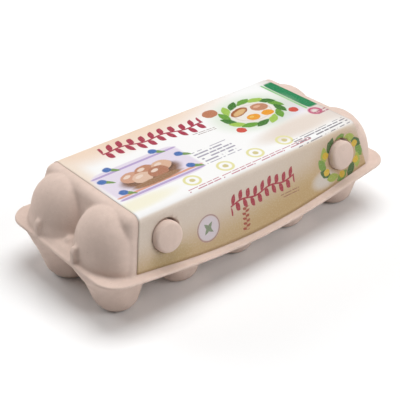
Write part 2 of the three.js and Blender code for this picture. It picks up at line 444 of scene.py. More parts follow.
@dataclass
class Lid:
    """The lid: a drafted block with a domed shell over each corner egg."""

    form: CartonForm
    voxel: float = 0.85 * MM
    rounds: int = 2
    block_base: float = 20 * MM
    block_corner_steps: int = 8
    block_cuts: int = 41
    dome_x: float = 96.2 * MM
    dome_y: float = 24.1 * MM
    dome_z: float = 39.6 * MM
    dome_half_length: float = 20.8 * MM
    dome_half_width: float = 26.4 * MM
    dome_rise: float = 29.3 * MM
    dome_root: float = 9 * MM
    dome_blend: float = 3 * MM
    dome_setback: float = 0.35 * MM
    dome_rings: int = 36
    dome_steps: int = 96
    foot_top: float = 45 * MM
    foot_flare: Pair = (0.8 * MM, 2.6 * MM)
    saddle_profile: Outline = (
        (90, 30), (120.3, 30), (120.3, 35.6), (116.4, 38.2), (111, 40.4), (104, 41.8), (90, 42.2),
    )
    saddle_span: Pair = (-14 * MM, 24 * MM)
    lug_profile: Outline = (
        (104, 32), (120.4, 32), (120.0, 43.6), (118.6, 45.8), (115, 46.8), (104, 47.4),
    )
    lug_thickness: float = 4.2 * MM
    lug_places: tuple[float, ...] = (-13.6 * MM, 25.2 * MM)
    boss: Triple = (109.5 * MM, 2.5 * MM, 38.2 * MM)
    boss_radius: float = 4.6 * MM
    boss_height: float = 3.6 * MM
    boss_profile: Outline = ((1, 0), (0.8, 0.6), (0.45, 1))
    boss_steps: int = 24
    overlap: float = 5 * MM
    headroom: float = 10 * MM

    def block(self) -> Mesh:
        """Makes the drafted block with rounded corners and top edge.

        Returns:
            The mesh.
        """
        form = self.form
        reach = Vector((form.top_half_length, form.top_half_width, 0))
        bm = box(-reach, reach + Vector((0, 0, form.body_height)))
        round_edges(bm, is_upright, form.corner_radius, self.block_corner_steps)
        top = form.body_height - HAIR
        round_edges(
            bm, lambda a, b: min(a.z, b.z) > top, form.top_edge, self.block_corner_steps
        )
        end = form.top_half_length - form.cut_margin
        slices(bm, -end, end, self.block_cuts)
        middle = form.body_height / 2

        def placed(point: Vector) -> Vector:
            """A point of the upright block, with its foot lifted, in its place."""
            z = self.block_base if point.z < middle else point.z
            return form.leaned(Vector((point.x, point.y, z)))

        move_verts(bm, placed)
        return bm

    def dome(self, end: Side, row: Side) -> Mesh:
        """Makes the egg-shaped shell over one corner, held back where it meets a panel.

        Args:
            end: The corner's end.
            row: The corner's row.

        Returns:
            The mesh.
        """
        form = self.form
        profile = [(0.0, -1.0), (1.0, -1.0)]
        for ring in range(self.dome_rings):
            angle = math.pi / 2 * ring / self.dome_rings
            profile.append((math.cos(angle), math.sin(angle)))
        bm = lathe([*profile, (0.0, 1.0)], self.dome_steps)
        flare = self.foot_flare[row is Side.HIGH]

        def placed(point: Vector) -> Vector:
            """Stretches the unit dome, flares its foot and puts it in its place.

            Args:
                point: A point of the unit dome.

            Returns:
                Its place on the carton.
            """
            rise = self.dome_rise if point.z > 0 else self.dome_root
            z = self.dome_z + rise * point.z
            foot = 1 - smooth_step(z, form.flange_z, self.foot_top)
            length = self.dome_half_length + flare * foot
            width = self.dome_half_width + flare * foot
            side = self.dome_y + width * point.y
            panel = form.top_half_width + form.draft * (form.body_height - z)
            side = soft_limit(side, panel - self.dome_blend, panel - self.dome_setback)
            x = self.dome_x + length * point.x
            return form.skewed(Vector((end.value * x, form.middle_y + row.value * side, z)))

        move_verts(bm, placed)
        bmesh.ops.recalc_face_normals(bm, faces=bm.faces)
        return bm

    def end_prism(
        self, profile: Outline, end: Side, low: float, high: float
    ) -> Mesh:
        """Runs an outline in X and Z, drawn in millimetres at the high end, along Y.

        Args:
            profile: The outline.
            end: The end that it goes to.
            low: Y of its near face.
            high: Y of its far face.

        Returns:
            The mesh.
        """
        bm = bmesh.new()
        face = bm.faces.new([
            bm.verts.new((end.value * x * MM, low, z * MM)) for x, z in profile
        ])
        made = bmesh.ops.extrude_face_region(bm, geom=[face])
        moved = [v for v in made["geom"] if isinstance(v, bmesh.types.BMVert)]
        bmesh.ops.translate(bm, vec=(0, high - low, 0), verts=moved)
        bmesh.ops.recalc_face_normals(bm, faces=bm.faces)
        return bm

    def end_fittings(self, end: Side) -> list[Mesh]:
        """Makes the sloping web between an end's domes, its two lugs and its low hump.

        Args:
            end: The end.

        Returns:
            Their meshes.
        """
        web = self.end_prism(self.saddle_profile, end, *self.saddle_span)
        half = self.lug_thickness / 2
        lugs = [self.end_prism(self.lug_profile, end, y - half, y + half) for y in self.lug_places]
        x, y, z = self.boss
        outline = [(r * self.boss_radius, h * self.boss_height) for r, h in self.boss_profile]
        hump = lathe([(0, 0), *outline, (0, self.boss_height)], self.boss_steps)
        bmesh.ops.translate(hump, vec=(end.value * x, y, z), verts=hump.verts)
        return [web, *lugs, hump]

    def build(self, material: bpy.types.Material, knobs: "list[LatchKnob]") -> bpy.types.Object:
        """Builds the lid.

        Args:
            material: Its finish.
            knobs: The knobs whose pockets it has.

        Returns:
            The finished object.
        """
        form = self.form
        shells = [self.block()]
        shells += [self.dome(end, row) for end in Side for row in Side]
        for end in Side:
            shells += self.end_fittings(end)
        shells.append(form.flange_slab(
            0, lambda x: form.seam(x) - self.overlap, form.flange_top
        ))
        lid = add_object("lid_shell", *shells)
        felt(lid, self.voxel, self.rounds)
        above = form.flange_slab(
            -self.overlap, form.seam, lambda x: form.body_height + self.headroom
        )
        cut(lid, add_object("above_seam", above), "INTERSECT")
        for knob in knobs:
            cut(lid, knob.pocket(), "DIFFERENCE")
        finish_piece(lid, [material], "pulp", "lid")
        return lid


# ------------------------------------------------------------------ tray


@dataclass
class Tray:
    """The tray: ten cups under a thin flange, the end ones fuller at the back."""

    form: CartonForm
    voxel: float = 0.95 * MM
    rounds: int = 4
    cups_per_row: int = 5
    cup_profile: Outline = (
        (0, 0), (7.6, 0), (10.8, 1.4), (13.3, 5), (15, 11), (16.6, 17), (19, 23),
        (22.4, 28), (26.6, 32), (30, 34), (32, 39), (0, 39),
    )
    cup_steps: int = 48
    back_foot: float = 2.8
    foot_reach: float = 12
    belly_facing: Pair = (0.6, 0.8)
    belly_full: float = 0.9
    belly_margin: float = 2.8 * MM
    end_belly: Pair = (1.6 * MM, 3.7 * MM)
    end_reach: float = 23.4 * MM
    overlap: float = 3 * MM

    def swell_cup(self, bm: Mesh, end: float, belly: float) -> None:
        """Swells an end cup towards its corner.

        Args:
            bm: The cup about its own axis.
            end: -1 or 1, the end it stands at.
            belly: How far it swells at half height.
        """
        across, along = self.belly_facing
        towards = Vector((across * end, along, 0))

        def swollen(point: Vector) -> Vector:
            """Moves the cup's wall out where it faces the corner.

            Args:
                point: A point of the cup.

            Returns:
                Its new place.
            """
            radius = math.hypot(point.x, point.y)
            if radius < HAIR or point.z > self.form.flange_z - self.belly_margin:
                return point
            facing = point.dot(towards) / radius
            swell = belly * math.sin(math.pi * point.z / self.form.flange_z)
            scale = 1 + smooth_step(facing, 0, self.belly_full) * swell / radius
            x = min(self.end_reach, max(-self.end_reach, point.x * scale))
            return Vector((x, point.y * scale, point.z))

        bmesh.ops.subdivide_edges(bm, edges=bm.edges, cuts=1)
        move_verts(bm, swollen)

    def cup(self, x: float, row: Side) -> Mesh:
        """Makes one cup, standing on the floor.

        Args:
            x: X of its axis.
            row: Its row.

        Returns:
            The mesh.
        """
        form = self.form
        foot = self.back_foot if row is Side.HIGH else 0.0
        profile = [
            ((radius + foot * max(0.0, 1 - z / self.foot_reach)) * MM if radius else 0.0, z * MM)
            for radius, z in self.cup_profile
        ]
        bm = lathe(profile, self.cup_steps)
        if abs(x) > 1.5 * form.cup_pitch:
            self.swell_cup(bm, math.copysign(1, x), self.end_belly[row is Side.HIGH])
        bmesh.ops.translate(bm, vec=(x, row.value * form.row_y, 0), verts=bm.verts)
        return bm

    def build(self, material: bpy.types.Material) -> bpy.types.Object:
        """Builds the tray.

        Args:
            material: Its finish.

        Returns:
            The finished object.
        """
        form = self.form
        top = form.lid_flange + form.seam_gap
        shells = [
            self.cup((column - (self.cups_per_row - 1) / 2) * form.cup_pitch, row)
            for column in range(self.cups_per_row) for row in Side
        ]
        shells.append(form.flange_slab(
            form.tray_inset,
            lambda x: form.flange_top(x) - top - form.tray_flange,
            lambda x: form.flange_top(x) + self.overlap,
        ))
        tray = add_object("tray_shell", *shells)
        felt(tray, self.voxel, self.rounds)
        below = form.flange_slab(
            form.tray_inset, lambda x: 0.0, lambda x: form.flange_top(x) - top
        )
        cut(tray, add_object("below_seam", below), "INTERSECT")
        finish_piece(tray, [material], "pulp", "tray")
        return tray


# ------------------------------------------------------------------ latch knobs


@dataclass
class LatchKnob:
    """A round knob that stands through a hole in the front panel."""

    form: CartonForm
    node: str
    drop: float = 18.9 * MM
    radius: float = 10 * MM
    rounding: float = 2.4 * MM
    proud: float = 4.3 * MM
    crown: float = 0.7 * MM
    hole_radius: float = 10.8 * MM
    hole_shift: Triple = (0.5 * MM, 0.45 * MM, 0)
    pocket_depth: float = 6 * MM
    pocket_steps: int = 72
    skin: float = 0.7 * MM
    base_gap: float = 0.3 * MM
    wall_rings: int = 8
    rounding_steps: int = 12
    crown_shares: tuple[float, ...] = (0.85, 0.7, 0.55, 0.4, 0.25, 0.1, 0)
    steps: int = 96

    @property
    def x(self) -> float:
        """X of the knob's axis, from its CAD node."""
        low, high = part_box(self.node)
        return (low.x + high.x) / 2

    def on_panel(self, bm: Mesh) -> None:
        """Sets a shape turned about Z on the panel, its top facing out.

        Args:
            bm: The mesh.
        """
        form = self.form
        tilt = math.atan(form.draft)
        height = form.body_height + self.skin
        z = height - self.drop * math.cos(tilt)
        front = form.top_half_width - form.middle_y
        y = -(front + self.skin + form.draft * (height - z))
        turn = Matrix.Rotation(math.pi / 2 - tilt, 4, "X")
        bmesh.ops.transform(bm, matrix=Matrix.Translation((self.x, y, z)) @ turn, verts=bm.verts)

    def pocket(self) -> bpy.types.Object:
        """Makes the cutter of the hole round the knob.

        Returns:
            The cutter.
        """
        low, high = -self.pocket_depth, 3 * self.pocket_depth
        bm = lathe(
            [(0, low), (self.hole_radius, low), (self.hole_radius, high), (0, high)],
            self.pocket_steps,
        )
        bmesh.ops.translate(bm, vec=self.hole_shift, verts=bm.verts)
        self.on_panel(bm)
        return add_object("pocket", bm)

    def build(self, material: bpy.types.Material) -> bpy.types.Object:
        """Builds the knob.

        Args:
            material: Its finish.

        Returns:
            The finished object.
        """
        base = self.base_gap - self.pocket_depth
        wall = self.proud - self.rounding - base
        profile = [(0, base)]
        profile += [
            (self.radius, base + wall * i / self.wall_rings) for i in range(self.wall_rings)
        ]
        for step in range(self.rounding_steps + 1):
            angle = math.pi / 2 * step / self.rounding_steps
            profile.append((
                self.radius - self.rounding * (1 - math.cos(angle)),
                self.proud - self.rounding * (1 - math.sin(angle)),
            ))
        for share in self.crown_shares:
            radius = (self.radius - self.rounding) * share
            profile.append((radius, self.proud + self.crown * (1 - share * share)))
        bm = lathe(profile, self.steps)
        self.on_panel(bm)
        Unevenness().roughen(bm)
        knob = add_object(f"{self.node}_button", bm)
        finish_piece(knob, [material], "pulp", self.node)
        return knob


# ------------------------------------------------------------------ label


class PrintZone(Enum):
    """A zone of the label with a material of its own: U and V from low to high, on the sheet."""

    FRONT_LEFT = (-99, 1.8, -99, -0.36)
    FRONT_RIGHT = (1.8, 99, -99, -0.36)
    TOP_FAR_LEFT = (-99, -4.6, -0.36, 8.28)
    TOP_LEFT = (-4.6, 1.8, -0.36, 8.28)
    TOP_RIGHT = (1.8, 5.6, -0.36, 8.28)
    TOP_FAR_RIGHT = (5.6, 99, -0.36, 8.28)
    BACK = (-99, 99, 8.28, 99)

    def holds(self, place: Vector | Pair, margin: float = 0.0) -> bool:
        """Whether the zone holds a place.

        Args:
            place: U and V.
            margin: How far outside the zone it may be.

        Returns:
            True if it does.
        """
        left, right, low, high = self.value
        across = left - margin <= place[0] <= right + margin
        return across and low - margin <= place[1] <= high + margin


@dataclass
class Label:
    """The printed paper label, wrapped over the lid from front to back.

    Its UV map "print" is the sheet laid flat, in centimetres: U is X, and V is 0 where the
    front edge's rounding begins on top, negative down the front panel.
    """

    form: CartonForm
    lift: float = 0.16 * MM
    thickness: float = 0.18 * MM
    top_half_length: float = 91 * MM
    shift: float = 1.5 * MM
    flare: float = 0.24
    first_drop: float = 25 * MM
    settle_rounds: int = 3
    clearance: float = 1.3 * MM
    columns: int = 120
    panel_rows: int = 16
    edge_rows: int = 8
    top_rows: int = 24

    def section(self, part: str, share: float, x: float) -> Triple:
        """Finds where the sheet is at a share of the way along one part of its section.

        Args:
            part: panel, edge or top.
            share: From 0 to 1 along that part, from the foot upward and inward.
            x: X of the point, which sets how far down the panel reaches.

        Returns:
            Y from the block's middle as a positive distance, Z, and the distance along
            the sheet from where the edge's rounding begins on top.
        """
        form = self.form
        width = form.top_half_width + self.lift
        edge = form.top_edge + self.lift
        top = form.body_height + self.lift
        arc = edge * math.pi / 2
        if part == "top":
            return (width - edge) * (1 - share), top, (width - edge) * share
        if part == "edge":
            angle = math.pi / 2 * (1 - share)
            drop = edge * (1 - math.cos(angle))
            y = width - edge + edge * math.sin(angle) + form.draft * drop
            return y, top - drop, -arc * (1 - share)
        foot = form.flange_top(x) + self.clearance
        z = foot + (top - edge - foot) * share
        slant = math.hypot(1, form.draft) * (top - edge - z)
        return width + form.draft * (top - z), z, -arc - slant

    def sheet(self) -> Mesh:
        """Makes the sheet without its thickness, facing out, with its UV map.

        Returns:
            The mesh.
        """
        form = self.form
        parts = (
            [("panel", i / self.panel_rows) for i in range(self.panel_rows)]
            + [("edge", i / self.edge_rows) for i in range(self.edge_rows)]
            + [("top", i / self.top_rows) for i in range(self.top_rows)]
        )
        stations = [(*p, Side.LOW) for p in parts] + [("top", 1.0, Side.LOW)]
        stations += [(*p, Side.HIGH) for p in reversed(parts)]
        bm = bmesh.new()
        bmesh.ops.create_grid(bm, x_segments=self.columns, y_segments=len(stations) - 1, size=1)
        flat = bm.loops.layers.uv.new("print")
        width = form.top_half_width - form.top_edge
        unrolled: dict[bmesh.types.BMVert, Pair] = {}
        for vert in bm.verts:
            across = vert.co.x
            part, share, side = stations[round((vert.co.y + 1) / 2 * (len(stations) - 1))]
            x = self.shift + across * (self.top_half_length + self.flare * self.first_drop)
            for _ in range(self.settle_rounds):
                y, z, along = self.section(part, share, x)
                drop = form.body_height + self.lift - z
                x = self.shift + across * (self.top_half_length + self.flare * drop)
            vert.co = form.skewed(Vector((x, form.middle_y + side.value * y, z)))
            unrolled[vert] = (x / CM, (along if side is Side.LOW else 2 * width - along) / CM)
        for face in bm.faces:
            for loop in face.loops:
                loop[flat].uv = unrolled[loop.vert]
        bm.normal_update()
        if sum(face.normal.z for face in bm.faces) < 0:
            bmesh.ops.reverse_faces(bm, faces=bm.faces)
        return bm

    def build(
        self, prints: dict[PrintZone, bpy.types.Material], knobs: list[LatchKnob]
    ) -> bpy.types.Object:
        """Builds the label.

        Args:
            prints: The material of each zone of its print.
            knobs: The knobs that it has holes for.

        Returns:
            The finished object.
        """
        label = add_object("label_sheet", self.sheet())
        solid = label.modifiers.new("paper", "SOLIDIFY")
        solid.thickness = self.thickness
        solid.offset = 1
        apply_modifiers(label)
        for knob in knobs:
            cut(label, knob.pocket(), "DIFFERENCE")
        finish_piece(label, list(prints.values()), "label_paper", "label")
        flat = label.data.uv_layers["print"].uv
        for polygon in label.data.polygons:
            places = [flat[i].vector for i in polygon.loop_indices]
            middle = sum(places, Vector((0, 0))) / len(places)
            polygon.material_index = next(i for i, z in enumerate(prints) if z.holds(middle))
        return label


# ------------------------------------------------------------------ node tools


@dataclass
class Graph:
    """Adds nodes to a tree, each with its settings and inputs in one call."""

    tree: Tree

    def node(
        self, kind: str, inputs: dict[str | int, object] | None = None, **settings: object
    ) -> bpy.types.Node:
        """Adds one node.

        Args:
            kind: Its type.
            inputs: For each input, a socket to link or a value to set.
            settings: Its properties.

        Returns:
            The node.
        """
        made = self.tree.nodes.new(kind)
        for key, value in settings.items():
            setattr(made, key, value)
        for key, value in (inputs or {}).items():
            if isinstance(value, Socket):
                self.tree.links.new(value, made.inputs[key])
            else:
                made.inputs[key].default_value = value
        return made

    def math(self, operation: str, *values: object) -> Socket:
        """The result of a Math node."""
        return self.node("ShaderNodeMath", dict(enumerate(values)), operation=operation).outputs[0]

    def vector(self, operation: str, *values: object) -> Socket:
        """The vector that a Vector Math node gives."""
        made = self.node("ShaderNodeVectorMath", dict(enumerate(values)), operation=operation)
        return made.outputs[0]

    def axis(self, vector: object, name: str) -> Socket:
        """Takes one component of a vector.

        Args:
            vector: The vector.
            name: X or Y.

        Returns:
            The component.
        """
        along = (1.0, 0.0, 0.0) if name == "X" else (0.0, 1.0, 0.0)
        made = self.node("ShaderNodeVectorMath", {0: vector, 1: along}, operation="DOT_PRODUCT")
        return made.outputs["Value"]

    def step(self, value: object, low: object, high: object) -> Socket:
        """Rises smoothly from 0 at low to 1 at high.

        Args:
            value: The value.
            low: Where the rise begins.
            high: Where it ends.

        Returns:
            A number from 0 to 1.
        """
        made = self.node(
            "ShaderNodeMapRange",
            {"Value": value, "From Min": low, "From Max": high, "To Min": 0.0, "To Max": 1.0},
            interpolation_type="SMOOTHSTEP",
        )
        return made.outputs["Result"]

    def noise(self, place: object, scale: float, detail: float = 2.0) -> Socket:
        """Adds a Noise texture.

        Args:
            place: Where it is read.
            scale: Its scale.
            detail: Its octaves.

        Returns:
            Its value.
        """
        made = self.node(
            "ShaderNodeTexNoise", {"Vector": place, "Scale": scale, "Detail": detail}
        )
        return made.outputs["Fac"]

    def mix(self, share: object, under: object, over: object) -> Socket:
        """Lays one colour over another.

        Args:
            share: How much of the upper one shows.
            under: The lower colour.
            over: The upper colour.

        Returns:
            The colour.
        """
        made = self.node("ShaderNodeMix", {0: share, 6: under, 7: over}, data_type="RGBA")
        return made.outputs[2]

    def dress(
        self, colour: object, rough: object, height: object,
        relief: float, depth: float, sheen: float,
    ) -> None:
        """Joins a material's values to its shader.

        Args:
            colour: The base colour.
            rough: The roughness.
            height: The bump's height.
            relief: The bump's strength.
            depth: The bump's distance.
            sheen: The shader's specular level.
        """
        shader = self.tree.nodes["Principled BSDF"]
        bump = self.node(
            "ShaderNodeBump", {"Strength": relief, "Distance": depth, "Height": height}
        )
        self.tree.links.new(colour, shader.inputs["Base Color"])
        self.tree.links.new(rough, shader.inputs["Roughness"])
        self.tree.links.new(bump.outputs["Normal"], shader.inputs["Normal"])
        shader.inputs["Specular IOR Level"].default_value = sheen

    def inverse(self, value: object) -> Socket:
        """What is left of 1."""
        return self.math("SUBTRACT", 1.0, value)

    def blend(self, values: Iterable[object], shares: Iterable[float]) -> Socket:
        """Adds values up, each times its share.

        Args:
            values: The values.
            shares: A share for each.

        Returns:
            The sum.
        """
        parts = [self.math("MULTIPLY", value, share) for value, share in zip(values, shares)]
        total = parts[0]
        for part in parts[1:]:
            total = self.math("ADD", total, part)
        return total

    def shift(
        self, place: object, noise_node: bpy.types.Node, reach: Triple
    ) -> Socket:
        """Moves a place about by a Noise texture's colour.

        Args:
            place: The place.
            noise_node: The texture.
            reach: How far it moves along each axis, from end to end.

        Returns:
            The moved place.
        """
        centred = self.vector("SUBTRACT", noise_node.outputs["Color"], (0.5, 0.5, 0.5))
        return self.vector("ADD", place, self.vector("MULTIPLY", centred, reach))


def new_group(
    name: str, inputs: dict[str, str], outputs: dict[str, str]
) -> tuple[Tree, Graph, bpy.types.Node, bpy.types.Node]:
    """An empty shader node group.

    Args:
        name: Its name.
        inputs: Socket type of each input.
        outputs: Socket type of each output.

    Returns:
        The group, a graph on it, and its input and output nodes.
    """
    tree = bpy.data.node_groups.new(name, "ShaderNodeTree")
    for label, kind in inputs.items():
        tree.interface.new_socket(label, in_out="INPUT", socket_type=kind)
    for label, kind in outputs.items():
        tree.interface.new_socket(label, in_out="OUTPUT", socket_type=kind)
    graph = Graph(tree)
    return tree, graph, graph.node("NodeGroupInput"), graph.node("NodeGroupOutput")


def tone(code: str, share: float = 1.0) -> Colour:
    """The linear colour of a hex code, times a share.

    Args:
        code: Six hex digits.
        share: What the colour is multiplied by.

    Returns:
        The colour, opaque.
    """
    parts = [int(code[i:i + 2], 16) / 255 for i in (0, 2, 4)]
    linear = [c / 12.92 if c <= 0.04045 else ((c + 0.055) / 1.055) ** 2.4 for c in parts]
    return (*(share * c for c in linear), 1.0)


# ------------------------------------------------------------------ pulp


@dataclass(frozen=True)
class PulpTexture:
    """The pattern that moulded pulp's finishes share; scales are features per metre."""

    mottle_scale: float = 34.0
    grit_scale: float = 260.0
    mottle_shares: Pair = (0.62, 0.38)
    bend_scale: float = 150.0
    bend_reach: float = 0.006
    fibre_scale: float = 420.0
    fibre_edge: Pair = (0.004, 0.024)
    patch_scale: float = 190.0
    patch_edge: Pair = (0.46, 0.62)
    speck_scale: float = 330.0
    speck_edge: Pair = (0.06, 0.16)
    speck_rarity: Pair = (0.78, 0.8)
    grain_scale: float = 1500.0
    height_shares: Triple = (0.35, 0.5, 0.15)

    def group(self) -> Tree:
        """Builds the group that gives mottling, fibres, specks and grain.

        Returns:
            The group.
        """
        tree, g, entry, leave = new_group(
            "pulp texture",
            {"Place": "NodeSocketVector"},
            {name: "NodeSocketFloat" for name in ("Mottle", "Fibre", "Speck", "Height")},
        )
        place = entry.outputs["Place"]
        broad = g.noise(place, self.mottle_scale, 3.0)
        close = g.noise(place, self.grit_scale)
        mottle = g.blend((broad, close), self.mottle_shares)
        bend = g.node(
            "ShaderNodeTexNoise", {"Vector": place, "Scale": self.bend_scale, "Detail": 1.0}
        )
        bent = g.shift(place, bend, (self.bend_reach,) * 3)
        thread = g.noise(bent, self.fibre_scale, 0.0)
        off = g.math("ABSOLUTE", g.math("SUBTRACT", thread, 0.5))
        patches = g.step(g.noise(place, self.patch_scale, 0.0), *self.patch_edge)
        fibre = g.math("MULTIPLY", g.inverse(g.step(off, *self.fibre_edge)), patches)
        cells = g.node("ShaderNodeTexVoronoi", {"Vector": bent, "Scale": self.speck_scale})
        spot = g.inverse(g.step(cells.outputs["Distance"], *self.speck_edge))
        draw = g.node("ShaderNodeSeparateColor", {"Color": cells.outputs["Color"]}).outputs[0]
        speck = g.math("MULTIPLY", spot, g.step(draw, *self.speck_rarity))
        grain = g.noise(place, self.grain_scale)
        height = g.blend((grain, close, fibre), self.height_shares)
        for socket, value in zip(leave.inputs, (mottle, fibre, speck, height)):
            tree.links.new(value, socket)
        return tree


@dataclass(frozen=True)
class PulpFinish:
    """Matte moulded pulp."""

    name: str
    texture: Tree
    dark: Colour
    light: Colour
    fibre: Colour
    speck: Colour
    relief: float = 0.35
    mottle_edge: Pair = (0.36, 0.64)
    fibre_share: float = 0.35
    speck_share: float = 0.5
    roughness: float = 0.8
    roughness_swing: float = 0.22
    bump_depth: float = 0.3 * MM
    sheen: float = 0.25

    def material(self) -> bpy.types.Material:
        """Builds the material.

        Returns:
            The material.
        """
        made = bpy.data.materials.new(self.name)
        made.use_nodes = True
        g = Graph(made.node_tree)
        place = g.node("ShaderNodeTexCoord").outputs["Object"]
        pulp = g.node("ShaderNodeGroup", {"Place": place}, node_tree=self.texture).outputs
        colour = g.mix(g.step(pulp["Mottle"], *self.mottle_edge), self.dark, self.light)
        colour = g.mix(g.math("MULTIPLY", pulp["Fibre"], self.fibre_share), colour, self.fibre)
        colour = g.mix(g.math("MULTIPLY", pulp["Speck"], self.speck_share), colour, self.speck)
        swing = g.math("MULTIPLY", pulp["Mottle"], self.roughness_swing)
        rough = g.math("ADD", self.roughness, swing)
        g.dress(colour, rough, pulp["Height"], self.relief, self.bump_depth, self.sheen)
        return made


# ------------------------------------------------------------------ print


class Edge(Enum):
    """How the outline of a printed shape looks."""

    CRISP = 0.10
    SOFT = 0.35
    MISTY = 0.9


class Motif(Enum):
    """Outlines of printed shapes, as the powers of X and Y in |x|^a + |y|^b = 1."""

    OVAL = (2.0, 2.0)
    BAR = (8.0, 8.0)
    LEAF = (2.0, 1.0)


@dataclass(frozen=True)
class PrintedItem:
    """One item of the print, in centimetres on the flat sheet."""

    colour: Colour
    centre: Pair
    radius: Pair

    @property
    def torn(self) -> bool:
        """Whether its outline is uneven, as painted food and leaves are."""
        return False

    def inputs(self) -> dict[str, object]:
        """What its group is given, apart from the place and what its own kind adds."""
        return {"Centre": (*self.centre, 0.0), "Radius": (*self.radius, 1.0)}


@dataclass(frozen=True)
class PrintedShape(PrintedItem):
    """One shape, or a ring where it has an inner edge."""

    turn: float = 0.0
    motif: Motif = Motif.OVAL
    edge: Edge = Edge.CRISP
    inner: float = -1.0
    strength: float = 1.0

    @property
    def torn(self) -> bool:
        """Whether its outline is uneven, as painted food and leaves are."""
        return self.inner < 0 and self.motif is not Motif.BAR

    def inputs(self) -> dict[str, object]:
        """What its group is given, apart from the place.

        Returns:
            The value of each input.
        """
        power_x, power_y = self.motif.value
        return super().inputs() | {
            "Turn": self.turn, "Power X": power_x, "Power Y": power_y,
            "Inner": self.inner, "Edge": self.edge.value,
        }


@dataclass(frozen=True)
class PrintedRows(PrintedItem):
    """Something that repeats at a pitch."""

    pitch: float
    turn: float = 0.0
    strength: float = 1.0

    def inputs(self) -> dict[str, object]:
        """What its group is given, apart from the place."""
        return super().inputs() | {"Turn": self.turn, "Pitch": self.pitch}


class LeafRow(PrintedRows):
    """A stem with leaves on both sides."""


class RuledLines(PrintedRows):
    """A block of thin broken lines."""


PLACE_INPUTS = {
    "Place": "NodeSocketVector", "Centre": "NodeSocketVector", "Radius": "NodeSocketVector",
    "Turn": "NodeSocketFloat",
}
MASK_OUTPUT = {"Mask": "NodeSocketFloat"}


def turned_place(g: Graph, entry: bpy.types.Node) -> Socket:
    """Measures the place from a shape's centre, along its own axes.

    Args:
        g: The group's graph.
        entry: The group's input node.

    Returns:
        The place.
    """
    offset = g.vector("SUBTRACT", entry.outputs["Place"], entry.outputs["Centre"])
    back = g.math("MULTIPLY", entry.outputs["Turn"], -1.0)
    made = g.node(
        "ShaderNodeVectorRotate", {"Vector": offset, "Angle": back}, rotation_type="Z_AXIS"
    )
    return made.outputs[0]


def shape_group() -> Tree:
    """Builds the group that masks one printed shape.

    Returns:
        The group.
    """
    numbers = ("Power X", "Power Y", "Inner", "Edge")
    tree, g, entry, leave = new_group(
        "printed shape", PLACE_INPUTS | {name: "NodeSocketFloat" for name in numbers}, MASK_OUTPUT
    )
    place = turned_place(g, entry)
    local = g.vector("ABSOLUTE", g.vector("DIVIDE", place, entry.outputs["Radius"]))
    reach = g.math(
        "ADD",
        g.math("POWER", g.axis(local, "X"), entry.outputs["Power X"]),
        g.math("POWER", g.axis(local, "Y"), entry.outputs["Power Y"]),
    )
    edge, inner = entry.outputs["Edge"], entry.outputs["Inner"]
    outer = g.step(reach, g.inverse(edge), g.math("ADD", 1.0, edge))
    hole = g.step(reach, g.math("SUBTRACT", inner, edge), g.math("ADD", inner, edge))
    tree.links.new(g.math("MULTIPLY", g.inverse(outer), hole), leave.inputs["Mask"])
    return tree


@dataclass(frozen=True)
class LeafForm:
    """The form of a leaf on a stem: how its two axes lean on X and Y of one pitch."""

    length_lean: Pair = (1.15, 0.95)
    width_lean: Pair = (2.6, 1.35)
    length: float = 1.35
    width: float = 1.15
    edge: Pair = (0.9, 1.1)
    stem_edge: Pair = (0.06, 0.12)
    stem_wave: float = 0.16
    row_end: Pair = (0.99, 1.01)

    def mask(
        self, g: Graph, along: object, across: object, pitch: object
    ) -> Socket:
        """Masks leaves that repeat along a stem, on its upper side.

        Args:
            g: The graph.
            along: Distance along the stem.
            across: Distance above it, 1 at the row's edge.
            pitch: Spacing of the leaves.

        Returns:
            The mask.
        """
        half = (g.math("MULTIPLY", pitch, 0.5), g.math("MULTIPLY", pitch, -0.5))
        x = g.math("DIVIDE", g.math("WRAP", along, *half), pitch)
        y = g.math("SUBTRACT", across, 0.5)
        a, b = self.length_lean
        long = g.math("ADD", g.math("MULTIPLY", x, a), g.math("MULTIPLY", y, b))
        a, b = self.width_lean
        wide = g.math("SUBTRACT", g.math("MULTIPLY", x, a), g.math("MULTIPLY", y, b))
        long = g.math("ABSOLUTE", g.math("MULTIPLY", long, self.length))
        wide = g.math("ABSOLUTE", g.math("MULTIPLY", wide, self.width))
        return g.inverse(g.step(g.math("ADD", g.math("POWER", long, 2.0), wide), *self.edge))

    def group(self) -> Tree:
        """Builds the group that masks a row of leaves.

        Returns:
            The group.
        """
        tree, g, entry, leave = new_group(
            "leaf row", PLACE_INPUTS | {"Pitch": "NodeSocketFloat"}, MASK_OUTPUT
        )
        pitch, radius = entry.outputs["Pitch"], entry.outputs["Radius"]
        place = turned_place(g, entry)
        along = g.axis(place, "X")
        wave = g.math("SINE", g.math("MULTIPLY", g.math("DIVIDE", along, pitch), math.pi / 2))
        height = g.math("DIVIDE", g.axis(place, "Y"), g.axis(radius, "Y"))
        bent = g.math("SUBTRACT", height, g.math("MULTIPLY", wave, self.stem_wave))
        upper = self.mask(g, along, bent, pitch)
        shifted = g.math("ADD", along, g.math("MULTIPLY", pitch, 0.5))
        lower = self.mask(g, shifted, g.math("MULTIPLY", bent, -1.0), pitch)
        stem = g.inverse(g.step(g.math("ABSOLUTE", bent), *self.stem_edge))
        drawn = g.math("MAXIMUM", stem, g.math("MAXIMUM", upper, lower))
        out = g.math("DIVIDE", g.math("ABSOLUTE", along), g.axis(radius, "X"))
        inside = g.inverse(g.step(out, *self.row_end))
        tree.links.new(g.math("MULTIPLY", drawn, inside), leave.inputs["Mask"])
        return tree


